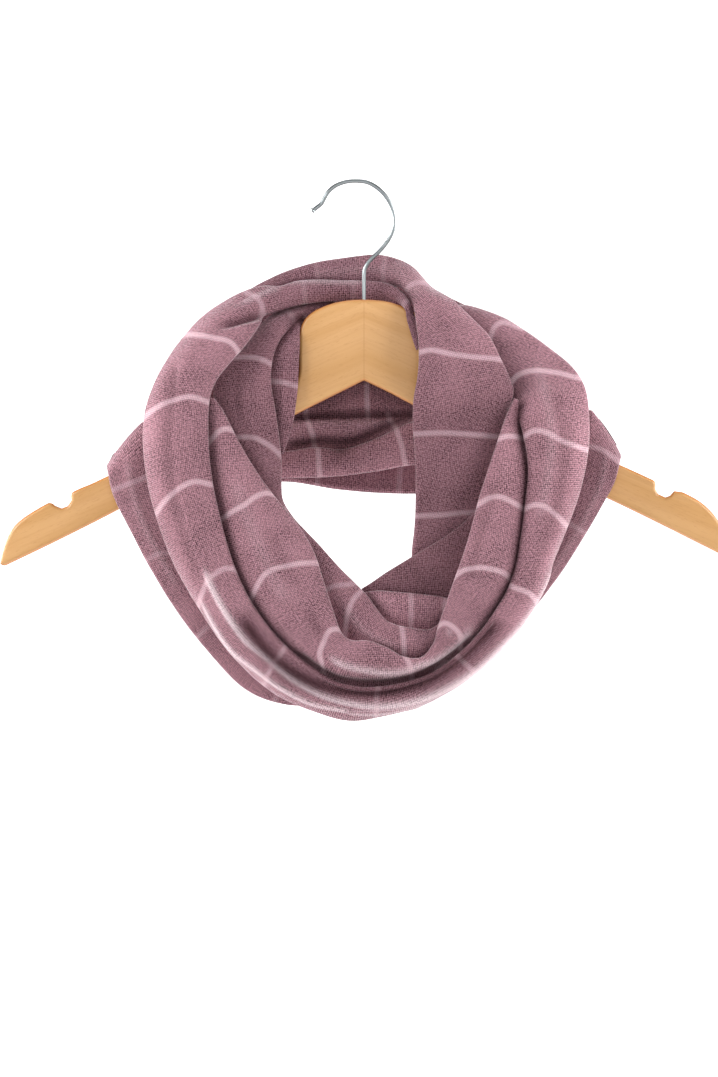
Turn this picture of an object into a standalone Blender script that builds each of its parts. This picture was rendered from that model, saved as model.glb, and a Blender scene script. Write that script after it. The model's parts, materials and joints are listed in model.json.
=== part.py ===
"""Loop scarf, wound twice and hung on a wooden hanger.

The scarf is one sewn tube of soft knit. Each stretch of the two rounds that shows is a
flattened tube of its own, with a wall of 2 mm. A stretch is a table with one row per cross
section. The rows give the stretch's two edges as seen from the front, on a grid of 0.611 mm
squares with u to the right and v down, and how far each edge lies behind the hook, in mm.
"""

import math

import bpy
import numpy as np

# Sizes in millimetres
GRID = 0.611
CROOK_U = 357.0
CROOK_V = 182.0
WOOD_THICK = 12.0
WOOD_ROUNDING = 2.2
WIRE_RADIUS = 1.2
BORE_RADIUS = 1.5
CLOTH_WALL = 2.0
THIN_WALL = 1.3
MM = 0.001

# Points round one cross section: each rolled edge, the face between them, and the back
EDGE_POINTS = 4
FACE_POINTS = 4
BACK_POINTS = 1


def place(u, v, y):
    """A point of the front view, with its depth, in millimetres from the crook."""
    return np.array([(u - CROOK_U) * GRID, y, (CROOK_V - v) * GRID])


def object_from(name, points, faces):
    mesh = bpy.data.meshes.new(name)
    mesh.from_pydata([tuple(p * MM) for p in points], [], faces)
    mesh.update()
    obj = bpy.data.objects.new(name, mesh)
    bpy.context.scene.collection.objects.link(obj)
    return obj


def smooth_through(values, count):
    """Values at even steps along a Catmull-Rom curve through the rows."""
    rows = np.vstack([2 * values[0] - values[1], values, 2 * values[-1] - values[-2]])
    found = []
    for t in np.linspace(0, len(values) - 1, count):
        i = min(int(t), len(values) - 2)
        f = t - i
        a, b, c, d = rows[i : i + 4]
        found.append(
            0.5
            * (
                2 * b
                + (c - a) * f
                + (2 * a - 5 * b + 4 * c - d) * f**2
                + (3 * b - a - 3 * c + d) * f**3
            )
        )
    return np.array(found)


def cross_section(width, roll, puff):
    """Outline of the flattened tube: p from the outer edge, q towards the face."""
    roll = min(roll, 0.42 * width)
    span = width - 2 * roll
    lean = math.atan2(4 * puff, max(span, 1.0))
    outline = []
    for angle in np.linspace(1.5 * math.pi, 0.5 * math.pi + lean, EDGE_POINTS):
        outline.append((roll + roll * math.cos(angle), roll * math.sin(angle)))
    start = outline[-1]
    for t in np.linspace(0, 1, FACE_POINTS + 2)[1:-1]:
        p = start[0] + (width - 2 * start[0]) * t
        outline.append((p, start[1] + 4 * puff * t * (1 - t)))
    for angle in np.linspace(0.5 * math.pi - lean, -0.5 * math.pi, EDGE_POINTS):
        outline.append((width - roll + roll * math.cos(angle), roll * math.sin(angle)))
    for t in np.linspace(1, 0, BACK_POINTS + 2)[1:-1]:
        outline.append((roll + span * t, -roll))
    return np.array(outline)


def inset(outline, wall):
    """The same outline moved inwards by the wall."""
    along = np.roll(outline, -1, 0) - np.roll(outline, 1, 0)
    along /= np.maximum(np.linalg.norm(along, axis=1, keepdims=True), 1e-6)
    inward = np.column_stack([along[:, 1], -along[:, 0]])
    return outline + wall * inward


def stretch(name, rows, roll, facing=1, density=1.4):
    """One stretch of the scarf, from a table with one row per cross section."""
    table = np.array(rows, float)
    outer = np.array([place(u, v, y) for u, v, y in table[:, 0:3]])
    inner = np.array([place(u, v, y) for u, v, y in table[:, 3:6]])
    count = int(round((len(rows) - 1) * density)) + 1
    track = smooth_through(np.hstack([outer, inner, table[:, 6:7]]), count)
    outer, inner, puffs = track[:, 0:3], track[:, 3:6], track[:, 6]
    travel = np.gradient((outer + inner) / 2, axis=0)
    rings = []
    for a, b, t, puff in zip(outer, inner, travel, puffs):
        width = np.linalg.norm(b - a)
        across = (b - a) / width
        face = np.cross(t, across) * facing
        face /= np.linalg.norm(face)
        edge = min(roll, 0.42 * width)
        outside = cross_section(width, edge, puff)
        wall = CLOTH_WALL if edge > CLOTH_WALL + 0.6 else THIN_WALL
        inside = inset(outside, min(wall, edge - 0.5))
        rings.append([a + across * p + face * q for p, q in np.vstack([outside, inside])])
    n = len(rings[0]) // 2
    points = np.vstack(rings)
    faces = []
    for i in range(count - 1):
        for k in range(n):
            here, up = i * 2 * n, (i + 1) * 2 * n
            m = (k + 1) % n
            faces.append((here + k, here + m, up + m, up + k))
            faces.append((here + n + m, here + n + k, up + n + k, up + n + m))
    last = (count - 1) * 2 * n
    for k in range(n):
        m = (k + 1) % n
        faces.append((k, n + k, n + m, m))
        faces.append((last + m, last + n + m, last + n + k, last + k))
    if facing > 0:
        faces = [f[::-1] for f in faces]
    return object_from(name, points, faces)


# Front drape, outer fold: left side of the neck, round the bottom, up the right side
# columns: outer u, v, y, inner u, v, y, puff
FRONT_OUTER = [
    (245, 289, -6, 263, 313, -11, 2),
    (222, 302, -11, 261, 323, -20, 4),
    (200, 318, -15, 254, 334, -25, 6),
    (181, 339, -19, 244, 347, -29, 8),
    (165, 363, -22, 230, 363, -32, 9),
    (153, 388, -24, 217, 380, -34, 9),
    (145, 413, -25, 210, 398, -35, 9),
    (143, 440, -25, 208, 422, -36, 9),
    (145, 468, -25, 209, 450, -37, 9),
    (150, 497, -26, 212, 478, -38, 9),
    (160, 528, -27, 217, 505, -40, 8),
    (173, 561, -29, 225, 538, -43, 8),
    (190, 594, -32, 237, 572, -46, 7),
    (212, 628, -36, 254, 606, -50, 6),
    (240, 663, -40, 276, 635, -54, 5),
    (275, 693, -42, 303, 659, -57, 5),
    (315, 711, -44, 333, 679, -59, 4),
    (350, 720, -46, 358, 686, -61, 4),
    (385, 715, -46, 382, 686, -61.5, 4),
    (415, 706, -46, 405, 682, -61.5, 4),
    (445, 690, -46, 428, 675, -61.5, 3),
    (470, 672, -44, 450, 662, -60.5, 3),
    (495, 650, -41, 472, 642, -58, 3),
    (518, 624, -39, 491, 618, -54, 4),
    (537, 596, -36, 506, 593, -49, 5),
    (551, 566, -33, 516, 566, -46, 6),
    (564, 535, -30, 521, 536, -43, 7),
    (576, 504, -28, 525, 505, -40, 8),
    (585, 472, -27, 528, 473, -37, 8),
    (590, 440, -25, 525, 445, -32, 8),
    (589, 408, -18, 517, 414, -22, 7),
    (584, 384, -12, 511, 398, -13, 5),
    (572, 366, -9, 506, 384, -9, 4),
    (553, 350, -6, 490, 366, -6, 3),
    (530, 333, -3, 474, 349, -3, 3),
    (505, 317, 1, 460, 332, 1, 3),
    (478, 307, 6, 448, 319, 6, 2),
    (455, 300, 15, 432, 311, 14, 1),
]

# Front drape, inner fold: beside the outer one, with the cradle at the bottom
FRONT_INNER = [
    (203, 400, -24, 214, 398, -25, 0.5),
    (201, 414, -25, 223, 411, -26, 2),
    (202, 433, -26, 234, 432, -27, 4),
    (204, 457, -27, 248, 457, -28, 6),
    (208, 483, -28, 264, 481, -30, 7),
    (214, 508, -30, 283, 505, -33, 8),
    (221, 538, -33, 301, 528, -37, 9),
    (232, 570, -36, 315, 553, -42, 9),
    (249, 607, -39, 325, 585, -48, 9),
    (271, 638, -42.5, 333, 611, -54, 9),
    (299, 664, -44, 341, 633, -58, 8),
    (330, 684, -46, 352, 640, -60, 7),
    (358, 691, -47.5, 368, 640, -60, 6),
    (382, 691, -47.5, 387, 647, -61, 5),
    (404, 687, -45.5, 404, 657, -61, 4),
    (426, 679, -45, 422, 658, -61, 3),
    (445, 667, -45, 434, 644, -60, 3),
    (465, 653, -43.5, 439, 624, -58.5, 4),
    (486, 630, -41.5, 446, 603, -55, 5),
    (505, 605, -38.5, 456, 574, -50, 7),
    (519, 577, -37, 465, 548, -45, 8),
    (526, 545, -34, 473, 521, -40, 8),
    (531, 510, -31, 480, 493, -36, 8),
    (534, 475, -28, 489, 464, -33, 6),
    (529.5, 447, -22.3, 498, 438, -30, 2.5),
    (518.5, 427, -18.5, 504.5, 420, -26, 1),
    (514, 411, -19.5, 509.5, 407.5, -22.8, 0.3),
]

# Shoulder drape under the others: over the left arm, round the bottom, over the right arm
UNDER_FRONT = [
    (108, 470, 0.2, 146, 424, 0.2, 1),
    (108, 470, -3.5, 146, 424, -3.5, 1),
    (108.5, 475, -9.2, 148, 438, -9, 1),
    (110, 484, -9.8, 152, 460, -9.6, 2),
    (113, 494, -10.5, 158, 478, -10, 2),
    (119, 508, -11.5, 166, 500, -11.5, 2),
    (130, 530, -14, 176, 522, -13, 2),
    (148, 565, -17, 190, 550, -15, 2),
    (172, 605, -20, 208, 585, -18, 2),
    (203, 646, -22, 232, 622, -20, 2),
    (243, 688, -24, 266, 652, -23, 2),
    (285, 705, -27, 300, 675, -26, 2),
    (330, 705, -30, 338, 682, -31, 2),
    (380, 704, -32, 380, 684, -33, 2),
    (425, 697, -32, 415, 680, -33, 2),
    (465, 677, -30, 448, 660, -31, 2),
    (500, 650, -27, 480, 632, -27, 2),
    (530, 614, -24, 506, 600, -23, 2),
    (560, 575, -22, 530, 562, -20, 2),
    (585, 536, -18, 552, 526, -16, 2),
    (604, 504, -13.5, 570, 494, -12, 2),
    (615, 484, -10.5, 582, 468, -9.8, 2),
    (619, 468, -9.9, 585, 438, -9.4, 1),
    (619.5, 460, -3.5, 588, 412, -3.5, 1),
    (619.5, 460, 0.2, 588, 412, 0.2, 1),
]

# Back of the shoulder drape: from arm to arm, lowest of the folds behind the neck
UNDER_BACK = [
    (108, 470, 1.6, 146, 424, 1.6, 1),
    (108, 470, 4, 146, 424, 4, 1),
    (108.5, 474, 9.5, 148, 430, 9.5, 1),
    (112, 486, 12.5, 158, 437, 12.5, 1),
    (130, 497, 17, 174, 442, 17, 2),
    (165, 500, 24, 200, 448, 23, 2),
    (215, 492, 29, 240, 455, 28, 2),
    (281, 480, 32, 285, 460, 32, 2),
    (340, 489, 35, 342, 462, 35, 2),
    (400, 493, 36, 402, 455, 36, 2),
    (460, 491, 34, 458, 445, 34, 2),
    (520, 487, 28, 512, 435, 28, 2),
    (570, 487, 21, 552, 425, 21, 2),
    (605, 488, 13, 576, 417, 12.5, 1),
    (618, 468, 9.6, 584, 414, 9.6, 1),
    (619.5, 460, 4, 588, 412, 4, 1),
    (619.5, 460, 1.6, 588, 412, 1.6, 1),
]

# Middle fold behind the neck
BACK_LOWER = [
    (208, 472, 10.6, 206, 437, 10.6, 1),
    (240, 478, 14, 235, 440, 14, 2),
    (282, 478, 18, 282, 450, 18, 3),
    (314, 476.7, 20, 313, 446.5, 20, 3),
    (346, 474.5, 21, 346, 448, 21, 3),
    (380, 470, 20, 379, 437, 20, 3),
    (411, 465, 19, 410, 422, 19, 3),
    (450, 463, 17, 450, 412, 17, 3),
    (495, 460, 13.5, 495, 409, 13.5, 2),
    (522, 456, 10.7, 520, 413, 10.7, 1),
]

# Upper fold behind the neck, which runs up behind the hook's shank
BACK_UPPER = [
    (154, 428, 3.5, 152, 395, -8, 1),
    (172, 436, 10, 168, 362, -4, 2),
    (200, 444, 17, 195, 328, 3, 3),
    (232, 452, 22, 225, 306, 11, 3),
    (262, 456, 25, 258, 290, 20, 3),
    (290, 457, 28, 290, 281, 28, 3),
    (325, 455, 29, 325, 275, 33, 2),
    (362, 452, 29.5, 362, 272, 35, 2),
    (400, 437, 29, 400, 277, 33, 2),
    (440, 432, 27.5, 440, 292, 23.5, 2),
    (480, 428, 25, 480, 311, 14.3, 2),
    (520, 428, 20.5, 515, 326, 10, 2),
    (550, 426, 14.5, 545, 346, 5, 2),
    (570, 420, 8, 570, 368, 1.6, 1),
    (581, 410, 2, 583, 389, -0.5, 1),
]

# Neck wrap: the top band behind the shank, which comes forward as the right-hand stretch
NECK_WRAP = [
    (246, 288, -5, 262, 299, -8, 0.5),
    (262, 281, 3, 275, 292, 5, 0.5),
    (285, 271, 10, 292, 289, 13, 1),
    (315, 261.5, 18, 318, 289, 18, 2),
    (345, 256, 22, 347, 290, 20, 3),
    (372, 253, 23, 372, 290, 20, 3),
    (392, 256, 20, 388, 286, 17, 3),
    (412, 266, 13, 402, 286, 4, 3),
    (431, 287, 3, 413, 302, -12, 3),
    (452, 299, -7, 416, 320, -18, 4),
    (472, 317, -13, 418, 340, -19, 5),
    (490, 336, -17, 418, 358, -19, 6),
    (501, 358, -20, 416.5, 378, -19, 6),
    (510, 378, -22, 413, 398, -19, 6),
    (515.5, 396, -22, 412, 420, -18, 5),
    (506, 413, -15.5, 413, 436, -18, 3.5),
    (501, 434, -15.5, 415, 455, -17, 3),
    (499, 460, -16, 416, 480, -16.5, 3),
    (491, 492, -15.5, 416, 505, -16, 2.5),
    (482, 520, -15, 414.5, 530, -16, 2),
    (475, 545, -15, 411.5, 555, -16, 1.5),
    (468, 562, -15, 414, 568, -16, 1),
]

# Neck roll: the lower band of the top, tucked in beside the right-hand stretch
NECK_ROLL = [
    (264, 301, -9, 267, 314, -11, 1),
    (278, 286, -1, 279, 311, -3, 2),
    (296, 281, 6, 298, 304.5, 3, 3),
    (320, 279, 10.5, 320, 301, 9, 3),
    (345, 279.5, 11, 345, 300.5, 10, 3),
    (370, 279.5, 11, 370, 301, 10, 3),
    (388, 282.5, 8, 386, 301, 8.5, 2),
    (402, 291, -1, 397, 301, 2, 1),
    (410, 301, -10, 405, 309, -10, 1),
    (414, 313, -10, 407, 320, -10, 0.5),
    (419, 330, -10, 411, 334, -10, 0.5),
    (422, 343, -10, 416, 350, -10, 0.3),
]

# Inner round, left: beside the neck, then down into the hollow of the front
INNER_LEFT = [
    (262, 318, 6, 299, 312.5, 7, 1),
    (254, 331, -6, 291, 324.5, -11.5, 2),
    (243, 344, -11, 280, 337, -14.5, 3),
    (228, 362, -13, 272, 362, -15.5, 4),
    (216, 380, -14, 271, 385, -16, 4),
    (214, 400, -14.5, 275, 410, -16, 4),
    (222, 425, -15, 279, 437, -16, 4),
    (236, 450, -16, 281, 460, -16.5, 3),
    (252, 474, -18, 281, 482, -18, 2),
    (264, 492, -21, 283, 502, -20, 1),
    (276, 514, -25, 293, 518, -24, 1),
    (290, 537, -29, 306, 531, -28, 2),
    (303, 560, -32, 322, 547, -31, 2),
    (312, 585, -35, 340, 567, -34, 3),
    (322, 610, -38, 357, 584, -37, 4),
    (335, 632, -41, 369, 597, -40, 4),
    (352, 648, -44, 377, 609, -43, 5),
    (372, 658, -46, 386, 619.5, -45, 5),
    (395, 665, -47, 397, 624.5, -46, 5),
    (418, 666, -47, 413, 627.5, -46, 5),
    (438, 658, -46, 429, 628.5, -45, 4),
    (451, 648, -43.5, 441, 621, -42.5, 1.5),
    (458, 639, -42.2, 449, 615, -41.8, 0.3),
]

# Inner round, narrow fold beside the hanger's head
NECK_LEFT = [
    (287, 331, -8.3, 299.5, 328, -8.3, 0.3),
    (273, 345, -9.2, 300, 345, -9, 1),
    (266, 362, -9.5, 299, 362, -9.5, 1.5),
    (265, 385, -9.5, 298, 384, -10, 1.5),
    (268, 405, -9.5, 295, 407, -10, 1.5),
    (272, 422, -9.5, 292, 426, -10, 1),
    (275, 438, -9.5, 287, 442, -10, 0.5),
    (276, 450, -9.5, 283, 454, -10, 0.3),
]

# Inner round, right: crosses behind the front drape's right side
INNER_RIGHT = [
    (360, 597, -26.7, 362, 588.5, -26.7, 0.5),
    (372, 599, -26.7, 371, 583, -26.7, 1),
    (390, 601, -26.7, 388, 571, -26.7, 2),
    (412, 603, -27.9, 408, 558.5, -26.2, 3),
    (436, 605, -27.9, 428, 546.5, -26.2, 3),
    (458, 606, -28.7, 448, 534.5, -26.2, 3),
    (476, 600, -28.7, 464, 522, -25, 2),
    (488, 585, -27.9, 478, 508, -24, 1),
]

# Inner round, bottom: the fold in the hollow between the two sides
INNER_CRADLE = [
    (362, 604, -31.6, 364, 592, -31.6, 0.5),
    (380, 622, -33.9, 378, 590, -33.9, 2),
    (400, 632, -34.9, 398, 592, -34.9, 3),
    (420, 636, -34.9, 418, 594, -34.9, 3),
    (440, 634, -34.9, 438, 596, -34.9, 3),
    (458, 626, -34.9, 452, 598, -34.9, 2),
    (470, 616, -34.9, 465, 595, -34.9, 1),
]

# Hanger's wooden body, clockwise on the grid from the top of its head
WOOD_OUTLINE = [
    (364, 299), (378, 299.7), (388, 301), (398, 304), (408, 308.5), (418, 314), (423, 319),
    (428, 326), (429, 345), (429, 368), (431, 378), (437, 386), (448, 392), (500, 414.5),
    (560, 439.5), (620, 464.5), (640, 473.5), (657, 481.5), (656.5, 489), (659, 494),
    (666, 497.2), (671, 495.5), (675, 491), (683, 492), (700, 501), (712, 511.5), (722, 525),
    (727.5, 540), (729, 552), (726, 556), (718, 552.5), (650, 518.5), (607.5, 498), (500, 446.5),
    (412, 404), (388, 391.5), (364, 380), (341, 391.5), (294, 415), (200, 465.5), (119, 509),
    (100, 519), (50, 544), (2, 567), (-1, 563), (2, 551), (6, 539), (12, 528), (20, 520),
    (30, 513), (40, 507), (50, 501.5), (54, 505.5), (61, 508.3), (67, 506), (70.5, 500),
    (69.5, 493), (80, 488), (90, 484), (108, 475.5), (160, 450.5), (230, 417), (276, 395),
    (290, 387.5), (297, 379), (299, 368), (299, 345), (300, 326), (305, 319), (310, 314),
    (320, 308.5), (330, 304), (340, 301), (350, 299.7),
]

# Hook's wire from the tip to the end of the shank in the wood
WIRE_ROUTE = [
    (311.5, 210.5), (316, 207), (321, 203), (324.5, 197), (328.5, 190.5), (335, 185), (343, 181.6),
    (350, 180.2), (358, 180), (366, 181), (373, 184), (380, 189), (386, 195.5), (391, 204),
    (394, 213), (394.6, 220), (393.5, 228), (390, 236.5), (385, 244), (379, 251), (372.5, 257),
    (367.5, 263), (364.5, 269.5), (364, 277), (364, 287), (364, 299), (364, 322),
]


def hanger_wood():
    """The flat body, rounded at its rim, with the bore that takes the shank."""
    half = WOOD_THICK / 2
    count = len(WOOD_OUTLINE)
    points = [place(u, v, y) for y in (-half, half) for u, v in WOOD_OUTLINE]
    faces = [tuple(range(count)), tuple(range(2 * count - 1, count - 1, -1))]
    for k in range(count):
        m = (k + 1) % count
        faces.append((k, count + k, count + m, m))
    wood = object_from("hanger_wood", points, faces)
    rim = wood.modifiers.new("rounding", "BEVEL")
    rim.width = WOOD_ROUNDING * MM
    rim.segments = 2
    rim.limit_method = "ANGLE"
    rim.angle_limit = math.radians(60)
    bpy.ops.mesh.primitive_cylinder_add(
        vertices=16,
        radius=BORE_RADIUS * MM,
        depth=36 * MM,
        location=place(364, 295, 0) * MM,
    )
    bore = bpy.context.object
    bore.name = "bore_cutter"
    bore.hide_render = True
    cut = wood.modifiers.new("bore", "BOOLEAN")
    cut.object = bore
    cut.operation = "DIFFERENCE"
    cut.solver = "EXACT"


def hanger_hook():
    """The wire hook: a half turn with an open tip and a straight shank."""
    route = smooth_through(np.array([place(u, v, 0) for u, v in WIRE_ROUTE]), 48)
    curve = bpy.data.curves.new("hanger_hook", "CURVE")
    curve.dimensions = "3D"
    line = curve.splines.new("POLY")
    line.points.add(len(route) - 1)
    for point, at in zip(line.points, route):
        point.co = (*(at * MM), 1)
    curve.bevel_depth = WIRE_RADIUS * MM
    curve.bevel_resolution = 2
    curve.use_fill_caps = True
    obj = bpy.data.objects.new("hanger_hook", curve)
    bpy.context.scene.collection.objects.link(obj)


def main():
    for obj in list(bpy.data.objects):
        bpy.data.objects.remove(obj)
    stretch("front_outer", FRONT_OUTER, roll=3.5)
    stretch("front_inner", FRONT_INNER, roll=3.0)
    stretch("under_front", UNDER_FRONT, roll=2.4)
    stretch("under_back", UNDER_BACK, roll=2.4, facing=-1)
    stretch("back_lower", BACK_LOWER, roll=3.0)
    stretch("back_upper", BACK_UPPER, roll=3.0)
    stretch("neck_wrap", NECK_WRAP, roll=3.0, facing=-1)
    stretch("neck_roll", NECK_ROLL, roll=2.6, facing=-1)
    stretch("inner_left", INNER_LEFT, roll=2.6)
    stretch("neck_left", NECK_LEFT, roll=1.8)
    stretch("inner_right", INNER_RIGHT, roll=2.5)
    stretch("inner_cradle", INNER_CRADLE, roll=2.5)
    hanger_wood()
    hanger_hook()


main()
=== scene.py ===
"""Loop scarf in heathered knit, wound twice and hung on a beech clothes hanger.

The scarf is drawn in stretches, one for each fold that shows. Each stretch is a table with one row
per cross section, on the front view's grid of 0.611 mm squares: u to the right, v down, and y for
how far back the edge lies, in mm. Ridges, creases and stripes are lines on the same grid.
"""

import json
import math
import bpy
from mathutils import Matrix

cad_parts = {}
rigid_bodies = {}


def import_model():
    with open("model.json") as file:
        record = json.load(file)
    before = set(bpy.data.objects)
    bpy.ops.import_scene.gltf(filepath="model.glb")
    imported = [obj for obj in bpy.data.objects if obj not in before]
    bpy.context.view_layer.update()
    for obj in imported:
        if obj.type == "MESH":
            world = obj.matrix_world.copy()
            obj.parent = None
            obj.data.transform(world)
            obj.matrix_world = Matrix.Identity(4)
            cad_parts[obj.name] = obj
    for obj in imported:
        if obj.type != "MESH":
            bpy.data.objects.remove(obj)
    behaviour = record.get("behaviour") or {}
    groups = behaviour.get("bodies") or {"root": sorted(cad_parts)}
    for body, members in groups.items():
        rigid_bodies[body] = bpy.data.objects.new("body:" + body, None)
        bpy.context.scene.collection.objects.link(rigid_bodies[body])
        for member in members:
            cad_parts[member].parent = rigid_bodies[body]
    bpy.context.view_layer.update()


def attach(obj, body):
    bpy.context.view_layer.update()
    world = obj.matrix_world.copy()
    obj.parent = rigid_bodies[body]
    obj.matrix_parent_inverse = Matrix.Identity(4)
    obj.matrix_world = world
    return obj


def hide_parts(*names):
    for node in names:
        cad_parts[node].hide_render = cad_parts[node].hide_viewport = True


bl_info = {
    "name": "Loop Scarf on a Hanger",
    "version": (1, 0, 0),
    "blender": (4, 5, 0),
    "location": "View3D > Sidebar > Scarf",
    "description": "Builds a double wound knit loop scarf on a notched wooden hanger",
    "category": "Object",
}

import bpy
import numpy as np
from bpy.props import FloatProperty, FloatVectorProperty, PointerProperty
from mathutils.kdtree import KDTree

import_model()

MM = 0.001
GRID = 0.611
CROOK_U = 357.0
CROOK_V = 182.0
# The glue line and the shank stand here on the grid
HEAD_U = 364

# Points on each rolled edge and on the back of a tube, and the steps in mm on its face and along it
EDGE_POINTS = 9
BACK_POINTS = 12
FACE_STEP = 1.1
STATION_STEP = 1.7

# A ridge or crease fades out over this length at each end, in mm
RIDGE_FADE = 14
# A crease this deep, in mm, gets the full painted crease shade
FULL_CREASE = 4
# Stretches narrower than this, in mm, have lower relief
FULL_RELIEF_WIDTH = 14
# Lengths of the soft wrinkles in mm, along the tube and round it
BROAD_WRINKLE = (34, 26)
FINE_WRINKLE = (15, 12)
# How near another stretch must lie, in mm, to paint contact shade on this one
CONTACT_SHADE_REACH = 4.4
# Corners of the board that turn by more degrees than this stay sharp
SHARP_TURN = 38

TUBES = {}


def linear(hex_colour):
    """An sRGB hex colour as linear red, green, blue and alpha."""
    parts = [int(hex_colour[i : i + 2], 16) / 255 for i in (1, 3, 5)]
    return (*[c / 12.92 if c <= 0.04045 else ((c + 0.055) / 1.055) ** 2.4 for c in parts], 1.0)


def table(text):
    """The rows of a stretch, as numbers."""
    return [tuple(float(x) for x in row.split()) for row in text.strip().splitlines()]


def points(text):
    """The u,v points of a line."""
    return [tuple(float(x) for x in pair.split(",")) for pair in text.split()]


def lines_on_grid(text):
    """Lines under the name of their stretch: each has its measures first, then its u,v points."""
    stretches = {}
    for word in text.split():
        if word[0].isalpha():
            lines = stretches.setdefault(word, [])
        elif "," in word:
            lines[-1][1].extend(points(word))
        elif lines and not lines[-1][1]:
            lines[-1][0].append(float(word))
        else:
            lines.append(([float(word)], []))
    return stretches


# Front drape, outer fold: left side of the neck, round the bottom, up the right side
# columns: outer u, v, y, inner u, v, y, puff
FRONT_OUTER = table("""
263 285 -6 268 314.5 -9 3
244 290 -9 263 318.5 -13 4
222 302 -11 260.5 324 -19 4.5
200 318 -15 254 334 -25 6
181 339 -19 244 347 -29 8
165 363 -22 230 363 -32 9
153 388 -24 217 380 -34 9
145 413 -25 210 398 -35 9
143 440 -25 208 422 -36 9
145 468 -25 209 450 -37 9
150 497 -26 212 478 -38 9
160 528 -27 217 505 -40 8
173 561 -29 225 538 -43 8
190 594 -32 237 572 -46 7
212 628 -36 254 606 -50 6
240 663 -40 276 635 -54 5
275 693 -42 303 659 -57 5
315 711 -44 333 679 -59 4
350 720 -46 358 686 -61 4
385 715 -46 382 686 -61.5 4
415 706 -46 405 682 -61.5 4
445 690 -46 428 675 -61.5 3
470 672 -44 450 662 -60.5 3
495 650 -41 472 642 -58 3
518 624 -39 491 618 -54 4
537 596 -36 506 593 -49 5
551 566 -33 516 566 -46 6
564 535 -30 521 536 -43 7
576 504 -28 525 505 -40 8
585 472 -27 528 473 -37 8
590 440 -25 525 445 -32 8
589 408 -18 517 414 -22 7
584 384 -12 511 398 -13 5
572 366 -9 506 384 -9 4
553 350 -6 490 366 -6 3
530 333 -3 474 349 -3 3
505 317 1 460 332 1 3
478 307.5 6 448 319 6 2
458 306 14 436 315 13 1
""")

# Front drape, inner fold: beside the outer one, with the cradle at the bottom
FRONT_INNER = table("""
203 400 -24 214 398 -25 0.5
201 414 -25 223 411 -26 2
202 433 -26 234 432 -27 4
204 457 -27 248 457 -28 6
208 483 -28 264 481 -30 7
214 508 -30 283 505 -33 8
221 538 -33 301 528 -37 9
232 570 -36 315 553 -42 9
249 607 -39 325 585 -48 9
271 638 -42.5 333 611 -54 9
299 664 -44 341 633 -58 8
330 684 -46 352 640 -60 7
358 691 -47.5 368 640 -60 6
382 691 -47.5 387 647 -61 5
404 687 -45.5 404 657 -61 4
426 679 -45 422 658 -61 3
445 667 -45 434 644 -60 3
465 653 -43.5 439 624 -58.5 4
486 630 -41.5 446 603 -55 5
505 605 -38.5 456 574 -50 7
519 577 -37 465 548 -45 8
526 545 -34 473 521 -40 8
531 510 -31 480 493 -36 8
534 475 -28 489 464 -33 6
529.5 447 -22.3 498 438 -30 2.5
521 427 -20 504.5 420 -27 1
518 411 -22.5 510.5 408 -26.5 0.6
518.5 400 -25 514 398.5 -27 0.3
""")

# Shoulder drape under the others: over the left arm, round the bottom, over the right arm
UNDER_FRONT = table("""
108 470 0.2 146 424 0.2 1
108 470 -3.5 146 424 -3.5 1
108.5 475 -9.2 148 438 -9 1
110 484 -9.8 152 460 -9.6 2
113 494 -10.5 158 478 -10 2
119 508 -11.5 166 500 -11.5 2
130 530 -14 176 522 -13 2
148 565 -17 190 550 -15 2
172 605 -20 208 585 -18 2
203 646 -22 232 622 -20 2
243 688 -24 266 652 -23 2
285 705 -27 300 675 -26 2
330 705 -30 338 682 -31 2
380 704 -32 380 684 -33 2
425 697 -32 415 680 -33 2
465 677 -30 448 660 -31 2
500 650 -27 480 632 -27 2
530 614 -24 506 600 -23 2
560 575 -22 530 562 -20 2
585 536 -18 552 526 -16 2
604 504 -13.5 570 494 -12 2
615 484 -10.5 582 468 -9.8 2
619 468 -9.9 585 438 -9.4 1
619.5 460 -3.5 588 412 -3.5 1
619.5 460 0.2 588 412 0.2 1
""")

# Back of the shoulder drape: from arm to arm, lowest of the folds behind the neck
UNDER_BACK = table("""
108 470 1.6 146 424 1.6 1
108 470 4 146 424 4 1
108.5 474 9.5 148 430 9.5 1
112 486 12.5 158 437 12.5 1
130 497 17 174 442 17 2
165 500 24 200 448 23 2
215 492 29 240 455 28 2
281 480 32 285 460 32 2
340 489 35 342 462 35 2
400 493 36 402 455 36 2
460 491 34 458 445 34 2
520 487 28 512 435 28 2
570 487 21 552 425 21 2
605 488 13 576 417 12.5 1
618 468 9.6 584 414 9.6 1
619.5 460 4 588 412 4 1
619.5 460 1.6 588 412 1.6 1
""")

# Middle fold behind the neck
BACK_LOWER = table("""
208 472 10.6 206 437 10.6 1
240 478 14 235 440 14 2
282 478 18 282 450 18 3
314 476.7 20 313 446.5 20 3
346 474.5 21 346 448 21 3
380 470 20 379 437 20 3
411 465 19 410 422 19 3
450 463 17 450 412 17 3
495 460 13.5 495 409 13.5 2
522 456 10.7 520 413 10.7 1
""")

# Upper fold behind the neck, which runs up behind the hook's shank
BACK_UPPER = table("""
154 428 3.5 152 395 -8 1
172 436 10 168 362 -4 2
200 444 17 195 328 3 3
232 452 22 225 306 11 3
262 456 25 258 290 20 3
290 457 28 290 281 28 3
325 455 29 325 275 33 2
362 452 29.5 362 272 35 2
400 437 29 400 277 33 2
440 432 27.5 440 292 23.5 2
480 428 25 480 311 14.3 2
520 428 20.5 515 326 10 2
550 426 14.5 545 346 5 2
570 420 8 570 368 1.6 1
581 410 2 583 389 -0.5 1
""")

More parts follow.
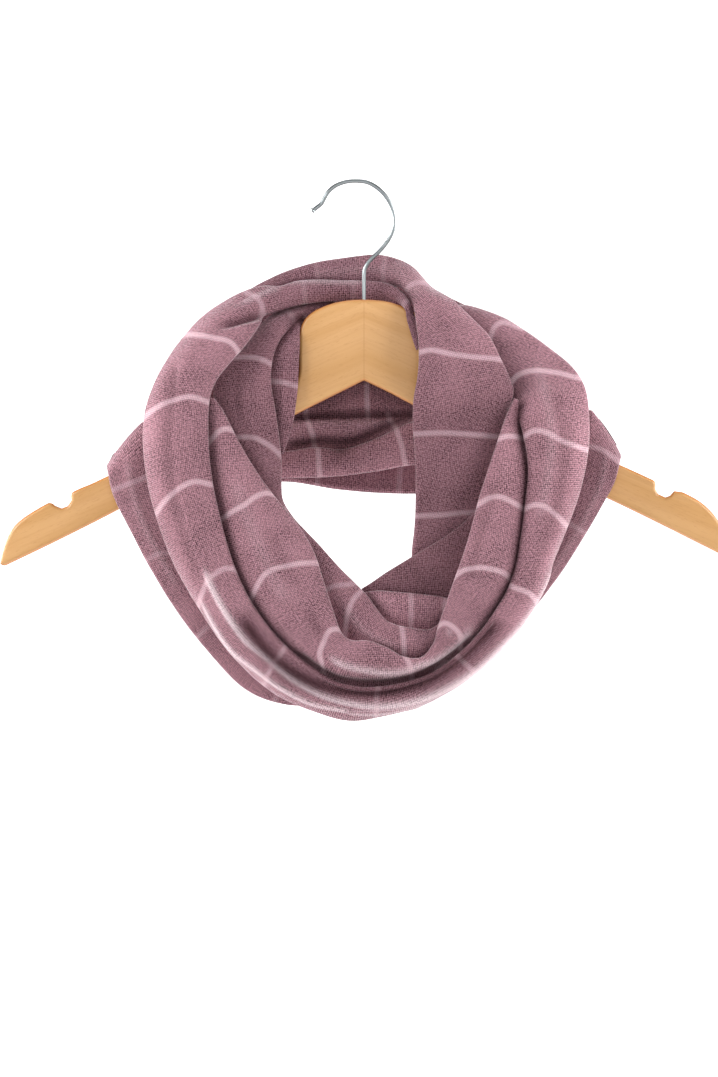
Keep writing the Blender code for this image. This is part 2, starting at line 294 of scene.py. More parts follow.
# Neck wrap: the top band behind the shank, which comes forward as the right-hand stretch
NECK_WRAP = table("""
249 289 2.5 262 300 2.5 0.5
263 281 5 275 293 6 0.5
285 271 10 292 289 13 1
315 261.5 18 318 289 18 2
345 256 22 347 290 20 3
372 253 23 372 290 20 3
392 256 20 388 286 17 3
412 266 13 402 286 4 3
431 287 3 413 302 -12 3
452 299 -7 416 320 -18 4
472 317 -13 418 340 -19 5
490 336 -17 418 358 -19 6
501 358 -20 416.5 378 -19 6
510 378 -22 413 398 -19 6
513 393 -20.5 412 420 -18 5
507 413 -16 413 436 -18 3.5
501 434 -15.5 415 455 -17 3
499 460 -16 416 480 -16.5 3
491 492 -15.5 416 505 -16 2.5
482 520 -15 414.5 530 -16 2
475 545 -15 411.5 555 -16 1.5
468 562 -15 414 568 -16 1
""")

# Neck roll: the lower band of the top, tucked in beside the right-hand stretch
NECK_ROLL = table("""
278 286 -1 279 311 -3 2
296 281 6 298 304.5 3 3
320 279 10.5 320 301 9 3
345 279.5 11 345 300.5 10 3
370 279.5 11 370 301 10 3
388 282.5 8 386 301 8.5 2
402 291 -1 397 301 2 1
410 301 -10 405 309 -10 1
414 313 -10 407 320 -10 0.5
419 330 -10 411 334 -10 0.5
422 343 -10 416 350 -10 0.3
""")

# Inner round, left: beside the neck, then down into the hollow of the front
INNER_LEFT = table("""
330 299.5 14.5 338 303 14.5 0.5
312 301.5 14 322 309 13.5 1
294 304.5 9 308 315 10.5 1.5
277 311 2 297 321 -1 2
262 322 -5 288 329 -10 2
247 342 -11 279 341 -14 3
228 362 -13 272 362 -15.5 4
216 380 -14 271 385 -16 4
214 400 -14.5 275 410 -16 4
222 425 -15 279 437 -16 4
236 450 -16 281 460 -16.5 3
252 474 -18 281 482 -18 2
264 492 -21 283 502 -20 1
276 514 -25 293 518 -24 1
290 537 -29 306 531 -28 2
303 560 -32 322 547 -31 2
312 585 -35 340 567 -34 3
322 610 -38 357 584 -37 4
335 632 -41 369 597 -40 4
352 648 -44 377 609 -43 5
372 658 -46 386 619.5 -45 5
395 665 -47 397 624.5 -46 5
418 666 -47 413 627.5 -46 5
438 658 -46 429 628.5 -45 4
451 648 -43.5 441 621 -42.5 1.5
458 639 -42.2 449 615 -41.8 0.3
""")

# Inner round, narrow fold beside the hanger's head
NECK_LEFT = table("""
300 318 4 306 324 6 0.3
288 325 -4 300 328 -4 0.3
273 345 -9.2 300 345 -9 1
266 362 -9.5 299 362 -9.5 1.5
265 385 -9.5 298 384 -10 1.5
268 405 -9.5 295 407 -10 1.5
272 422 -9.5 292 426 -10 1
275 438 -9.5 287 442 -10 0.5
276 450 -9.5 283 454 -10 0.3
""")

# Inner round, right: crosses behind the front drape's right side
INNER_RIGHT = table("""
360 597 -26.7 362 588.5 -26.7 0.5
372 599 -26.7 371 583 -26.7 1
390 601 -26.7 388 571 -26.7 2
412 603 -27.9 408 558.5 -26.2 3
436 605 -27.9 428 546.5 -26.2 3
458 606 -28.7 448 534.5 -26.2 3
476 600 -28.7 464 522 -25 2
488 585 -27.9 478 508 -24 1
""")

# Inner round, bottom: the fold in the hollow between the two sides
INNER_CRADLE = table("""
362 604 -31.6 364 592 -31.6 0.5
380 622 -33.9 378 590 -33.9 2
400 632 -34.9 398 592 -34.9 3
420 636 -34.9 418 594 -34.9 3
440 634 -34.9 438 596 -34.9 3
458 626 -34.9 452 598 -34.9 2
470 616 -34.9 465 595 -34.9 1
""")

# Hanger's wooden body, clockwise on the grid from the top of its head
WOOD_OUTLINE = points("""
364,299 378,299.7 388,301 398,304 408,308.5 418,314 423,319 427,325 428.8,333 429,348 429,368 431,378
437,386 448,392 500,414.5 560,439.5 620,464.5 640,473.5 657,481.5 656.5,489 659,494 666,497.2 671,495.5
675,491 683,492 700,501 712,511.5 722,525 727.5,540 729,552 726,556 718,552.5 650,518.5 607.5,498
500,446.5 412,404 388,391.5 364,380 341,391.5 294,415 200,465.5 119,509 100,519 50,544 2,567 -1,563 2,551
6,539 12,528 20,520 30,513 40,507 50,501.5 54,505.5 61,508.3 67,506 70.5,500 69.5,493 80,488 90,484
108,475.5 160,450.5 230,417 276,395 290,387.5 297,379 299,368 299,348 299.4,334 301.5,325 306,317.5
312,311.8 320,307.4 330,303.6 340,301 352,299.4
""")

# Hook's wire from the tip to the end of the shank in the wood
WIRE_ROUTE = points("""
311.5,210.5 316,207 321,203 324.5,197 328.5,190.5 335,185 343,181.6 350,180.2 358,180 366,181 373,184
380,189 386,195.5 391,204 394,213 394.6,220 393.5,228 390,236.5 385,244 379,251 372.5,257 367.5,263
364.5,269.5 364,277 364,287 364,299 364,322
""")

# Light cross stripes: how clearly each shows, and its u,v points from one edge to the other
STRIPES = lines_on_grid("""
front_outer
0.7 236,284 245,291 254,296 261,303 263.5,311 266,322
0.3 303,274 304,290 306,310
0.2 353,272 353,290 353,306
0.6 394,318 398,312 403,305 406.5,301 413,300 424,301
1 168,337 183,334 200,335 215,338 228,341 236,348 244,364
1 136,426 146,416 155,409 165,403 175,400 190,397 205,401 218,408
1 148,524 157,512 163,503 172,494 180,488 190,483 200,482 224,488
0.8 244,574 233,568.5 224,569 215,574 208,581 203,592 198,606 190,622
0.7 294,634 286,646 279,655 272,664 267,677 260,694
0.6 379,680 377,692 376.5,706 375,724
0.7 448,648 460,658 467,665 474,673 484,686
1 504,582 515,588 523,590.5 531,595 537,604 546,620
1 516,516 526,508 535,505 545,507 555,514 562,521 578,538
1 516,444 526,435 533,431 540,431 548,434 560,440 575,446 600,454
1 504,392 514,379 520,374 530,371 545,371 560,373 575,377 594,381
0.8 486,350 491.4,334.5 495,326.5 501.7,322 509.7,323 522,328
front_inner
1 204,448 213,438 218,432 225,429 232,430 244,437
1 208,528 222,519 232,512 245,505 255,497 265,493 275,494 290,500
1 246,610 253,595 258,585 265,575 275,569 290,565 305,563 336,563
1 319,694 322,667 320,653 324,641 329,631 338,629 348,634
0.8 402,648 405,655 408,661 411,670 414,692
1 432,630 440,624 446,623 452,626 458,632 461,641 466,664
1 448,582 462,570.5 478,567.5 495,570 505,574 512,582 520,598
1 466,512 480,503 490,497 500,497 510,501 525,510 540,520
1 492,441 503,437 512,436 525,439 540,446
under_front
0.5 98,496 106,493 114,489.5 128,484 141,479 166,468
0.4 132,570 147,560 158,554 170,552 190,545
0.5 186,646 198,636 205,629 220,616
0.5 268,716 275,700 283,680 290,664
0.5 377,718 377,700 377,678
0.5 482,690 474,673 462,654
0.5 552,624 540,610 520,596 506,590
0.5 600,542 590,536 580,530 572,525 550,512
0.7 626,467 614,458 606,452 598,448 590,446 574,442
under_back
0.7 150,505 158,470 162,425
0.7 226,505 230,470 234,440
0.7 316,500 318,470 318,440
0.7 398,505 400,475 402,440
0.7 480,505 478,470 476,425
0.7 558,505 552,460 546,410
back_lower
0.7 236,490 238,460 238,430
0.7 321,482 319,470 318,449 316,435
0.7 409,478 404,457 402,446 396.6,429.6 390,414
0.7 484,470 484,440 482,400
back_upper
0.8 160,450 164,410 160,350
0.8 238,460 238,400 234,340 226,290
0.8 316,460 313,437 306,414 304,360 308,320 312,260
0.8 368,417 367,395 366,330 368,255
0.8 400,450 397,430 390,418.8 388,414
0.8 450,450 450,400 448,340 446,280
0.8 532,440 530,400 528,340 526,310
neck_wrap
0.3 314,254 316,266 317,275 318,294
0.3 386,246 384.5,263 383.5,278 382,294
0.6 404,292 412,286 418,283 427,283 440,288
1 406,356 420,352 432,350 449,353.5 472,357 495,358.6 512,362
1 400,435 413,434 450,433 502,437 516,438
1 402,517 417,516 440,515 460,513 478,512 498,510
inner_left
0.4 283,308 290.5,312 293.5,318 296,328
1 224,358 240,357 250,357 260,359 271,364 286,374
1 226,438 243,437 255,438 265,443 275,450 292,468
1 262,520 276,512 292,508
0.6 318,594 334,586 348,584 362,582
0.8 368,584 360,592 353,599.6 348,613 345.5,629 342,652
0.8 398,614 402,629 403.7,646 404,674
neck_left
0.9 256,378 273,381 282,382 297,386 312,392
inner_right
inner_cradle
0.5 410,586 411,600 411,640
0.5 448,590 445,601 444,620 444,644
""")

# Ridges and creases in the cloth: height in mm, spread in mm on the left and on the right of the
# line's own direction, how strong a painted highlight lies along it, and its u,v points. A small spread
# makes a sharp lip. Each crease also gets painted shade; the two under the hanger's V on back_upper
# paint the board's cast shadow there.
RIDGES = lines_on_grid("""
front_outer
2.2 2.6 2 1 202,560 210,582 219,600 231,620 246,641 267,660 281,672 298,684 322,696 348,703 374,706
  409,702 443,689 478,667 503,643 521,624 535,605 547,582 555,560
0.8 1.3 1.3 0.6 335,709 360,713.5 392,712 430,701 461,688 492,664 514,641 531,618 545,596
1.3 1.8 1.5 0.9 198,590 210,616 231,648 256,669 281,687 310,702 335,708 362,711
0.9 1.2 1.2 0.8 400,711.5 436,703 470,687 504,661 532,628 552,592 566,556
0.5 1 1 0.35 262,672 285,689 310,701 340,709 368,710 400,707 436,696 470,677 498,654 520,631
-1.2 3 5 0 176,350 172,400 170,450 176,500 188,545 204,585
-0.9 4 4 0 548,384 562,430 560,480 550,520 538,560
1 4 5 0.1 530,352 545,390 552,440 546,490 537,530
-3.6 1.5 4.5 0 276,314 262,316.5 247,320 230,324.5 212,329.5
-5.5 6.5 5.5 0 236,610 250,630 270,656 296,676 322,687 348,692 374,693 402,689 432,679 460,660 486,635
  502,612
0.6 1.6 2.4 0.5 252,289 266,285 283,282 310,280.5 345,281 376,281
1.4 2.5 1.6 0.4 292,283 276,288 262,294 246,302 230,312
front_inner
0.6 2.5 2.5 1 440,623 446,628 451,635 455,643
2 3.4 2.4 0.6 322,648 331,657 340,663 352,667 366,670 380,672 392,672.5 406,670.5 420,665 435,660 448,652
  458,645 466,635 476,618
-1.6 4 4 0 300,600 318,628 332,648
-3 3.5 4.5 0 290,648 312,668 334,680 358,684.5 382,685 406,681 432,670 456,652 474,630
1 6 6 0.08 230,470 248,520 270,570 292,612
-0.9 5 5 0 262,520 284,562 304,596
-1 3 4 0 497,470 487,510 476,550 466,590
under_front
1 3 3 0.1 128,448 130,480 142,520 160,556 184,596
1 3 3 0.1 606,442 602,480 584,520 562,556 538,590
back_upper
-1.8 8 8 0 296,414 330,399 364,388 398,400 432,414
-2.8 3.4 3.4 0 292,413 330,395 364,380 398,394 436,413
3.6 1 9 0.1 262,426 290,422.5 313,421 340,420 370,419.5 411,419.5 446,418
-3.4 4 2.5 0 276,447 300,444 322,441 342,442 358,439 378,430 398,421 420,412
-3.8 5 1 0 262,422 290,419 313,417.6 340,416.8 370,416 411,416 446,415
1.6 7 5 0 220,372 300,362 380,350 460,356 530,384
-1.4 6 6 0 210,340 300,325 380,318 460,330 520,352
back_lower
-1.8 3 1.2 0 326,444 334,449 344,450 354,447
neck_wrap
1.2 4 4 0.1 300,276 340,271 376,268 402,274 416,290 424,310
-1 3 5 0 428,292 440,318 452,345 462,375
-0.8 4 4 0 440,425 436,470 434,520
inner_left
1 5 3 0 266,345 258,380 262,415 272,450
-1.2 3 3 0 240,360 234,392 244,428 258,458
1.4 3 4 0.1 338,594 350,612 364,630 384,642 410,648
neck_left
0.6 2 2 0 287,345 283,385 284,425
inner_right
inner_cradle
0.7 2.5 2.5 0 372,600 400,604 440,605
under_back
1.4 5 5 0 160,470 230,478 330,478 430,474 540,466
""")

# Each stretch: its table, the roll of its edges in mm, the side its face is on, a seed, and how
# much painted shade darkens it from its first end to its last
# Painted shade along the outer front fold, darkest at the neck roll end
FRONT_PAINTED_SHADE = (0.48, 0.48, 0.4, 0, 0.04, 0.08, 0.04, 0, 0, 0, 0, 0, 0, 0, 0)
STRETCHES = {
    "front_outer": (NECK_ROLL[::-1] + FRONT_OUTER, 3.2, 1, 11, FRONT_PAINTED_SHADE),
    "front_inner": (FRONT_INNER, 3.0, 1, 12, (0.04, 0.04, 0.08, 0.04, 0)),
    "under_front": (UNDER_FRONT, 2.4, 1, 13, (0.08, 0.16, 0.24, 0.32, 0.36)),
    "under_back": (UNDER_BACK, 2.4, -1, 14, (0.24,)),
    "back_lower": (BACK_LOWER, 3.0, 1, 15, (0,)),
    "back_upper": (BACK_UPPER, 3.0, 1, 16, (0.06,)),
    "neck_wrap": (NECK_WRAP, 3.0, -1, 17, (0.44, 0.44, 0.4, 0.24, 0.04, 0.16, 0.44, 0.5, 0.5, 0.5)),
    "inner_left": (INNER_LEFT, 2.6, 1, 19, (0.44, 0.4, 0.1)),
    "neck_left": (NECK_LEFT, 1.8, 1, 20, (0.4,)),
    "inner_right": (INNER_RIGHT, 2.5, 1, 21, (0.66,)),
    "inner_cradle": (INNER_CRADLE, 2.5, 1, 22, (0,)),
}


def place(u, v, y):
    """A point of the front view, with its depth, in millimetres from the crook."""
    return np.array([(u - CROOK_U) * GRID, y, (CROOK_V - v) * GRID])


def between(a, b, c, d, f):
    """The Catmull-Rom curve through four points, at f of the way from the second to the third."""
    bend = (2 * a - 5 * b + 4 * c - d) * f**2 + (3 * b - a - 3 * c + d) * f**3
    return 0.5 * (2 * b + (c - a) * f + bend)


def smooth_through(values, count):
    """Values at even steps along a smooth curve through the rows."""
    values = np.array(values, float)
    rows = np.vstack([2 * values[0] - values[1], values, 2 * values[-1] - values[-2]])
    t = np.linspace(0, len(values) - 1, count)
    i = np.minimum(t.astype(int), len(values) - 2)
    return between(rows[i], rows[i + 1], rows[i + 2], rows[i + 3], (t - i)[:, None])


def tube_outline(width, roll, puff, face_points):
    """Outlines of the flattened tube: p from the outer edge, q towards the face, and how far each
    point belongs to the face, for every station at once."""
    roll = np.minimum(roll, 0.42 * width)[:, None]
    width, puff = width[:, None], puff[:, None]
    span = width - 2 * roll
    lean = np.arctan2(4 * puff, np.maximum(span, 1.0))
    half = math.pi / 2
    t = np.linspace(0, 1, EDGE_POINTS)[None]
    outer = 3 * half - t * (2 * half - lean)
    inner = half - lean - t * (2 * half - lean)
    middle = np.linspace(0, 1, face_points + 2)[None, 1:-1]
    back = np.linspace(1, 0, BACK_POINTS + 2)[None, 1:-1]
    outer_p, outer_q = roll + roll * np.cos(outer), roll * np.sin(outer)
    start_p, start_q = outer_p[:, -1:], outer_q[:, -1:]
    face_p = start_p + (width - 2 * start_p) * middle
    face_q = start_q + 4 * puff * middle * (1 - middle)
    inner_p, inner_q = width - roll + roll * np.cos(inner), roll * np.sin(inner)
    p = [outer_p, face_p, inner_p, roll + span * back]
    q = [outer_q, face_q, inner_q, -roll + np.zeros_like(back)]
    face = [t[0] ** 2, np.ones(face_points), (1 - t[0]) ** 2, np.zeros(BACK_POINTS)]
    return np.hstack(p), np.hstack(q), np.concatenate(face)


def nearest(spots, line):
    """For spots of the front view: distance to a line, the side of it, and how far along it."""
    best = np.full(len(spots), 1e9)
    side, along = np.zeros((2, len(spots)))
    gone = 0.0
    for a, b in zip(line[:-1], line[1:]):
        run = b - a
        length = max(np.hypot(*run), 1e-6)
        t = np.clip(((spots - a) @ run) / length**2, 0, 1)
        off = spots - a - t[:, None] * run
        d = np.hypot(off[:, 0], off[:, 1])
        closer = d < best
        best = np.where(closer, d, best)
        side = np.where(closer, np.sign(run[0] * off[:, 1] - run[1] * off[:, 0]), side)
        along = np.where(closer, gone + t * length, along)
        gone += length
    return best * GRID, side, along * GRID, gone * GRID


def ease(f):
    """Softens a value that goes from 0 to 1 at both its ends."""
    return f * f * (3 - 2 * f)


def soft_noise(x, y, seed):
    """Smooth uneven values from -1 to 1 over a plane."""
    grid = np.random.default_rng(seed).uniform(-1, 1, (64, 64))
    ix, iy = np.floor(x).astype(int), np.floor(y).astype(int)
    fx, fy = ease(x - ix), ease(y - iy)
    low = grid[ix % 64, iy % 64] * (1 - fx) + grid[(ix + 1) % 64, iy % 64] * fx
    high = grid[ix % 64, (iy + 1) % 64] * (1 - fx) + grid[(ix + 1) % 64, (iy + 1) % 64] * fx
    return low * (1 - fy) + high * fy


def grid_normals(spots):
    """Unit normals of a tube of points, stations by ring."""
    along = np.gradient(spots, axis=0)
    around = np.roll(spots, -1, 1) - np.roll(spots, 1, 1)
    normal = np.cross(along, around)
    normal /= np.maximum(np.linalg.norm(normal, axis=2, keepdims=True), 1e-9)
    outward = spots - spots.mean(axis=1, keepdims=True)
    return normal if (normal * outward).sum() > 0 else -normal


def relief(name, spots, face, run, round_it, depth):
    """How far each point is lifted in mm, how much painted highlight it gets on a ridge and how much
    painted shade in a crease.
    """
    lift, ridge_highlight, dent, crease_shade = np.zeros((4, len(spots)))
    for (height, left, right, highlight_strength), line in RIDGES[name]:
        d, side, along, total = nearest(spots, smooth_through(line, 4 * len(line)))
        spread = np.where(side < 0, left, right)
        ends = np.clip(np.minimum(along, total - along) / RIDGE_FADE, 0, 1)
        shape = np.exp(-((d / spread) ** 2)) * ends * ends * (3 - 2 * ends)
        # Where two creases cross, the deeper one counts, so that the cloth isn't pushed through itself
        if height < 0:
            dent = np.minimum(dent, height * shape * face)
        else:
            lift += height * shape * face
        ridge_highlight = np.maximum(ridge_highlight, highlight_strength * shape**2 * face)
        crease_shade = np.maximum(crease_shade, np.clip(-height / FULL_CREASE, 0, 1) * shape)
    seed = STRETCHES[name][3]
    broad = soft_noise(run / BROAD_WRINKLE[0], round_it / BROAD_WRINKLE[1], seed)
    fine = soft_noise(run / FINE_WRINKLE[0], round_it / FINE_WRINKLE[1], seed + 40)
    return lift + dent + depth * (0.85 * broad + 0.15 * fine), ridge_highlight, crease_shade


def steps_along(spots):
    """Distances from each point to the next."""
    return np.linalg.norm(np.diff(spots, axis=0), axis=1)


def bare_tube(name):
    """The stretch's tube before its soft wrinkles: its points and its measures along and round."""
    if name in TUBES:
        return TUBES[name]
    rows, roll, facing, _, _ = STRETCHES[name]
    grid = np.array(rows, float)
    edge_a = np.array([place(u, v, y) for u, v, y in grid[:, 0:3]])
    edge_b = np.array([place(u, v, y) for u, v, y in grid[:, 3:6]])
    length = steps_along((edge_a + edge_b) / 2).sum()
    stations = max(len(rows), int(length / STATION_STEP))
    track = smooth_through(np.hstack([edge_a, edge_b, grid[:, 6:7]]), stations)
    edge_a, edge_b, puff = track[:, 0:3], track[:, 3:6], np.maximum(track[:, 6], 0.2)
    middle = (edge_a + edge_b) / 2
    travel = np.gradient(middle, axis=0)
    width = np.linalg.norm(edge_b - edge_a, axis=1)
    across = (edge_b - edge_a) / width[:, None]
    face_way = np.cross(travel, across) * facing
    face_way /= np.linalg.norm(face_way, axis=1, keepdims=True)
    face_points = int(min(110, max(24, width.max() / FACE_STEP)))
    p, q, face = tube_outline(width, roll, puff, face_points)
    tube = edge_a[:, None] + across[:, None] * p[..., None] + face_way[:, None] * q[..., None]
    step = np.linalg.norm(np.roll(tube, -1, 1) - tube, axis=2)
    round_it = np.hstack([np.zeros((stations, 1)), np.cumsum(step, axis=1)])
    run = np.concatenate([[0], np.cumsum(steps_along(middle))])
    TUBES[name] = (tube, width, face, round_it, run)
    return TUBES[name]


def contact_shade(name):
    """How closely other stretches lie against each point of this one, from 0 to 1, as painted contact
    shade.
    """
    others = np.vstack([bare_tube(other)[0].reshape(-1, 3) for other in STRETCHES if other != name])
    tree = KDTree(len(others))
    for k, spot in enumerate(others):
        tree.insert(spot, k)
    tree.balance()
    apart = np.array([tree.find(spot)[2] for spot in bare_tube(name)[0].reshape(-1, 3)])
    return np.exp(-((apart / CONTACT_SHADE_REACH) ** 2))


def tube_faces(stations, ring):
    """The quads of an open tube, and for each corner its station and its step round the tube."""
    faces = []
    corners = []
    for i in range(stations - 1):
        for k in range(ring):
            m = (k + 1) % ring
            faces.append((i * ring + k, i * ring + m, (i + 1) * ring + m, (i + 1) * ring + k))
            corners.extend(((i, k), (i, k + 1), (i + 1, k + 1), (i + 1, k)))
    return faces, corners


def make_stretch(name, settings):
    """The mesh of one stretch as an open tube, with its stripes and its knit coordinates."""
    tube, width, face, round_it, run = bare_tube(name)
    stations, ring = tube.shape[:2]
    spots = tube.reshape(-1, 3)
    seen = np.column_stack([spots[:, 0] / GRID + CROOK_U, CROOK_V - spots[:, 2] / GRID])
    run_all = np.repeat(run, ring)
    round_all = round_it[:, :-1].reshape(-1)
    face_all = np.tile(face, stations)
    depth = settings.wrinkle_depth / MM
    lift, ridge_highlight, crease_shade = relief(name, seen, face_all, run_all, round_all, depth)
    room = np.minimum(1, np.repeat(width, ring) / FULL_RELIEF_WIDTH)
    normals = grid_normals(tube).reshape(-1, 3)
    spots = spots + normals * (lift * room)[:, None]
    # Distance in mm to the nearest stripe, far off until one is found
    stripe = np.full(len(seen), 9.0)
    ink = np.zeros(len(seen))
    for (strength,), line in STRIPES[name]:
        distance = nearest(seen, smooth_through(line, 5 * len(line)))[0]
        ink = np.where(distance < stripe, strength, ink)
        stripe = np.minimum(stripe, distance)
    # Painted shade: given for each stretch along its length, deeper in creases and where other cloth
    # lies close
    shade_along_stretch = STRETCHES[name][4]
    painted_shade = np.interp(run_all / run[-1], np.linspace(0, 1, len(shade_along_stretch)), shade_along_stretch)
    # The crease lines are drawn on the front view, so their painted shade counts on what faces it
    crease_shade = crease_shade * np.clip(0.5 - 2 * normals[:, 1], 0, 1)
    painted_shade = np.maximum(np.maximum(painted_shade, crease_shade), contact_shade(name))
    faces, corners = tube_faces(stations, ring)
    sample = faces[ring * (stations // 2)]
    first = spots[np.array(sample)]
    if np.cross(first[1] - first[0], first[3] - first[0]) @ normals[sample[0]] < 0:
        faces = [f[::-1] for f in faces]
        corners = [c for n in range(0, len(corners), 4) for c in corners[n : n + 4][::-1]]
    mesh = bpy.data.meshes.new(name + "_knit")
    mesh.from_pydata([tuple(x * MM) for x in spots], [], faces)
    layer = mesh.uv_layers.new(name="knit")
    at = np.array(corners)
    uv = np.column_stack([run[at[:, 0]], round_it[at[:, 0], at[:, 1]]]) * 0.01
    layer.data.foreach_set("uv", uv.astype(np.float32).ravel())
    marks = {"stripe": stripe, "stripe_ink": ink, "ridge_highlight": ridge_highlight, "painted_shade": painted_shade}
    for label, values in marks.items():
        attribute = mesh.attributes.new(label, "FLOAT", "POINT")
        attribute.data.foreach_set("value", values.astype(np.float32))
    mesh.shade_smooth()
    mesh.update()
    around = float(round_it[:, -1].mean())
    return mesh, around * MM, float(run[-1]) * MM


def wind(context, name):
    """Adds one stretch of the scarf and gives the cloth its thickness."""
    settings = context.scene.scarf_knit
    mesh, around, length = make_stretch(name, settings)
    obj = bpy.data.objects.new(name + "_knit", mesh)
    context.scene.collection.objects.link(obj)
    wall = obj.modifiers.new("cloth", "SOLIDIFY")
    wall.thickness = settings.cloth_thickness
    wall.offset = -1
    select_only(obj)
    bpy.ops.object.modifier_apply(modifier=wall.name)
    obj.data.materials.append(knit_material(settings))
    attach(obj, "root")
    # The roll over the head runs on into the outer front fold, so one piece stands for both
    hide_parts(*((name, "neck_roll") if name == "front_outer" else (name,)))


def select_nothing():
    for other in bpy.context.view_layer.objects:
        other.select_set(False)


def select_only(obj):
    """Deselects all else and makes this object the active one."""
    select_nothing()
    obj.select_set(True)
    bpy.context.view_layer.objects.active = obj


def node(tree, kind, inputs=None, **settings):
    """Adds a shader node, sets its properties, and gives each input its value or its link."""
    made = tree.nodes.new("ShaderNode" + kind)
    for key, value in settings.items():
        setattr(made, key, value)
    for key, value in (inputs or {}).items():
        if isinstance(value, bpy.types.NodeSocket):
            tree.links.new(value, made.inputs[key])
        else:
            made.inputs[key].default_value = value
    return made


def ranged(tree, value, low, high, to_low=0.0, to_high=1.0):
    """A value that goes from one end to the other while its source goes from low to high."""
    ends = {"Value": value, "From Min": low, "From Max": high, "To Min": to_low, "To Max": to_high}
    return node(tree, "MapRange", ends).outputs[0]


def blend(tree, share, under, over, way="MIX"):
    """A colour over another one, as far as the share says."""
    inputs = {0: share, 6: under, 7: over}
    return node(tree, "Mix", inputs, data_type="RGBA", blend_type=way).outputs[2]


def noise(tree, at, scale, detail, roughness, distortion=0.0, space="3D"):
    inputs = {"Vector": at, "Scale": scale, "Detail": detail, "Roughness": roughness}
    inputs["Distortion"] = distortion
    return node(tree, "TexNoise", inputs, noise_dimensions=space).outputs[0]


def maths(tree, operation, *values, clamp=False):
    return node(tree, "Math", dict(enumerate(values)), operation=operation, use_clamp=clamp).outputs[0]


def mark(tree, name):
    """A value that the mesh carries."""
    return node(tree, "Attribute", attribute_name=name).outputs["Fac"]


def bump(tree, height, strength, distance):
    return node(tree, "Bump", {"Height": height, "Strength": strength, "Distance": distance}).outputs[0]


def new_material(name):
    material = bpy.data.materials.new(name)
    material.use_nodes = True
    material.node_tree.nodes.clear()
    return material, material.node_tree


def surface(tree, inputs):
    """Ends a material with its surface."""
    made = node(tree, "BsdfPrincipled", inputs)
    node(tree, "OutputMaterial", {"Surface": made.outputs[0]})


def knit_material(settings):
    """Soft acrylic and wool jersey, heathered yarn, brushed: matt, with a pale nap at its rims, painted
    highlights on the ridges and painted shade in the hollows.
    """
    name = "heathered_brushed_jersey"
    if name in bpy.data.materials:
        return bpy.data.materials[name]
    material, tree = new_material(name)
    # One unit of the knit map is 100 mm, so this turns it to mm
    knit = node(tree, "UVMap", uv_map="knit").outputs[0]
    in_mm = node(tree, "Mapping", {"Vector": knit, "Scale": (100, 100, 100)}).outputs[0]
    pitch = settings.stitch_pitch / MM
    stitches = {"Vector": in_mm, "Scale": 1 / pitch, "Randomness": 0.2}
    stitch = node(tree, "TexVoronoi", stitches, voronoi_dimensions="2D")
    loops = ranged(tree, stitch.outputs["Distance"], 0.15, 0.52, 1.0, 0.0)
    # Heather yarn: pale and dark fibres change every 1 to 2 mm
    fleck = noise(tree, in_mm, 0.8, 2.0, 0.7, space="2D")
    specks = ranged(tree, fleck, 0.38, 0.62)
    grain = node(tree, "Mix", {0: 0.42, 2: loops, 3: specks}, data_type="FLOAT").outputs[0]
    colour = blend(tree, grain, settings.yarn_dark, settings.yarn_light)
    # Paler clouds about 20 mm across
    cloud = noise(tree, in_mm, 0.045, 2.0, 0.5, space="2D")
    colour = blend(tree, ranged(tree, cloud, 0.3, 0.7, 0.0, 0.22), colour, settings.yarn_light)
    # Painted highlight along the ridges, flecked by the yarn's grain
    highlight_grain = maths(tree, "MULTIPLY_ADD", grain, 0.8, 0.35, clamp=True)
    ridge = maths(tree, "MULTIPLY", mark(tree, "ridge_highlight"), highlight_grain)
    colour = blend(tree, ridge, colour, settings.ridge_highlight_tint)
    # Cross stripes of pale yarn, whose edges are uneven by up to 0.9 mm
    jitter = maths(tree, "MULTIPLY_ADD", fleck, 1.8, -0.9)
    ragged = maths(tree, "ADD", mark(tree, "stripe"), jitter)
    half = settings.stripe_width / MM / 2
    band = ranged(tree, ragged, half - 0.9, half + 0.5, 0.85, 0.0)
    dotted = maths(tree, "MULTIPLY_ADD", loops, 0.6, 0.5)
    stitched = maths(tree, "MULTIPLY", band, dotted)
    shown = maths(tree, "MULTIPLY", stitched, mark(tree, "stripe_ink"))
    colour = blend(tree, shown, colour, settings.stripe_yarn)
    # Painted shade darkens the colour, and the sheen fades where the painted shade lies
    painted_shade = mark(tree, "painted_shade")
    surface(tree, {
        "Base Color": blend(tree, painted_shade, colour, settings.painted_shade_tint, "MULTIPLY"),
        "Roughness": 0.92,
        "Specular IOR Level": 0.15,
        "Sheen Weight": maths(tree, "MULTIPLY_ADD", painted_shade, -1.0, 1.0, clamp=True),
        "Sheen Roughness": 0.25,
        "Sheen Tint": linear("#FBF3F5"),
        "Normal": bump(tree, grain, 0.8, 0.0004),
    })
    return material


def wood_noise(tree, at, size, detail, roughness, distortion=0.0):
    """Noise whose features have this size in metres: along the arm's slope, through and across."""
    slope = (0, math.radians(23), 0)
    inputs = {"Vector": at, "Rotation": slope, "Scale": size}
    along = node(tree, "Mapping", inputs, vector_type="TEXTURE").outputs[0]
    return noise(tree, along, 1.0, detail, roughness, distortion)


